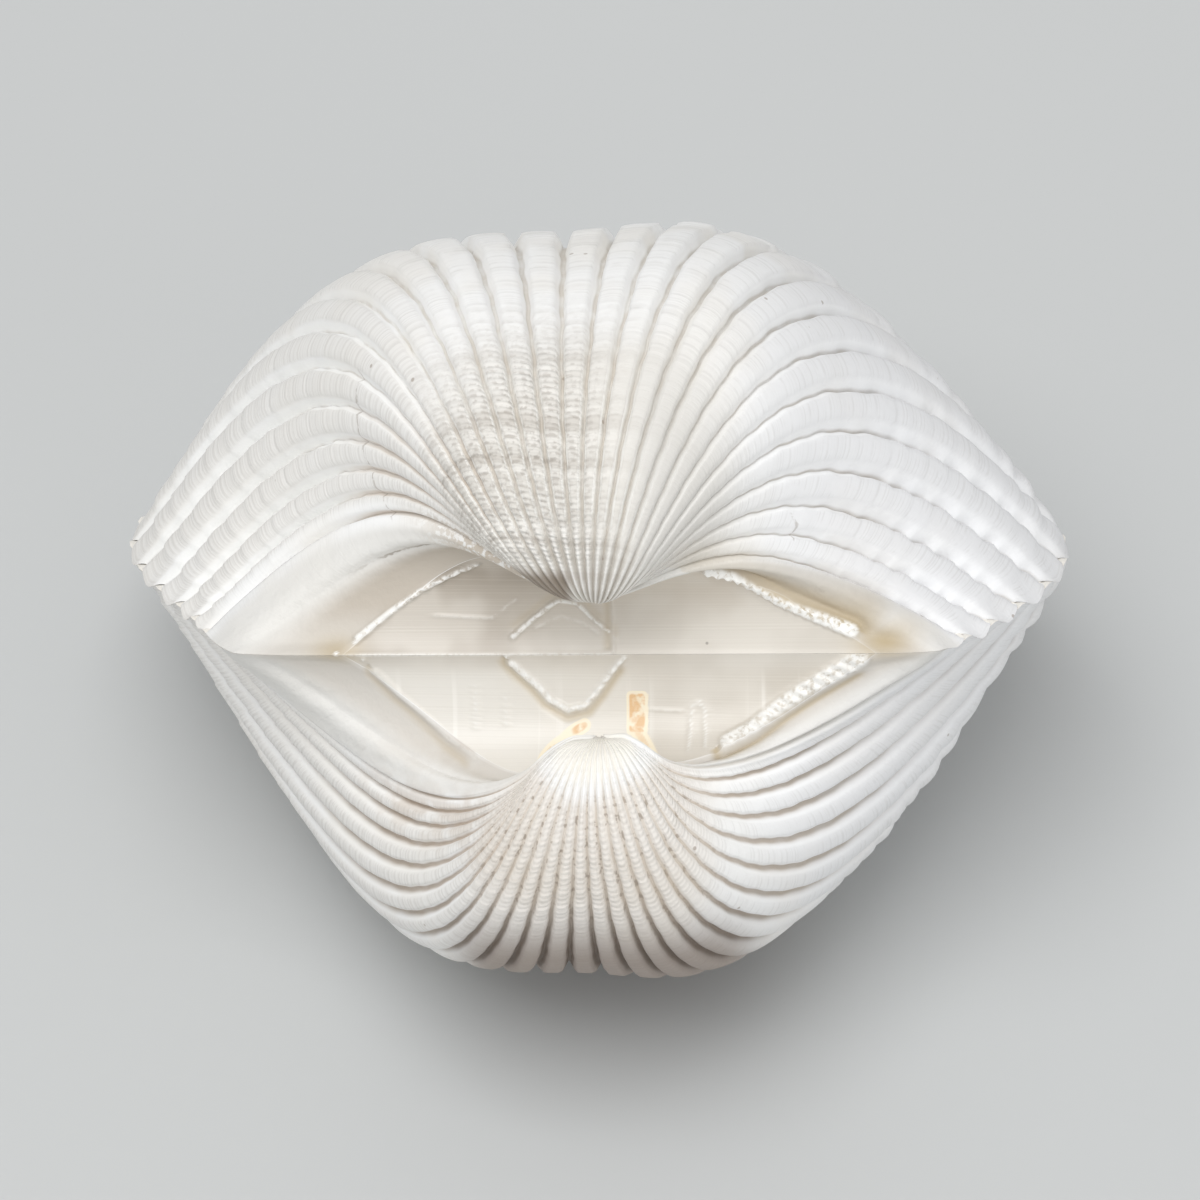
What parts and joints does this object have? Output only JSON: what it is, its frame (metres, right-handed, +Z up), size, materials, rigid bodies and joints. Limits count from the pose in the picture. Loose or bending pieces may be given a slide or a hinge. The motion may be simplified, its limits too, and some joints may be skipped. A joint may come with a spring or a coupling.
{
  "type": "ark clam shell",
  "caption": "Closed pair of thick, strongly inflated seashell valves with radial ribs, scalloped interlocking rims and a straight hinge; lies on its lower valve.",
  "frame": {"origin": "middle of the bounding box's bottom, on the surface that the shell lies on", "axes": "+Z up from that surface, +X along the hinge line towards the shorter end, -Y towards the side that the hinge and the beaks face"},
  "size_m": [0.0756, 0.0674, 0.0608],
  "materials": {
    "shell": "chalky, sun-bleached white aragonite with a warm cream cast, satin on the cardinal area"
  },
  "bodies": {
    "root": {"upper_valve": "shell", "lower_valve": "shell"}
  },
  "joints": []
}
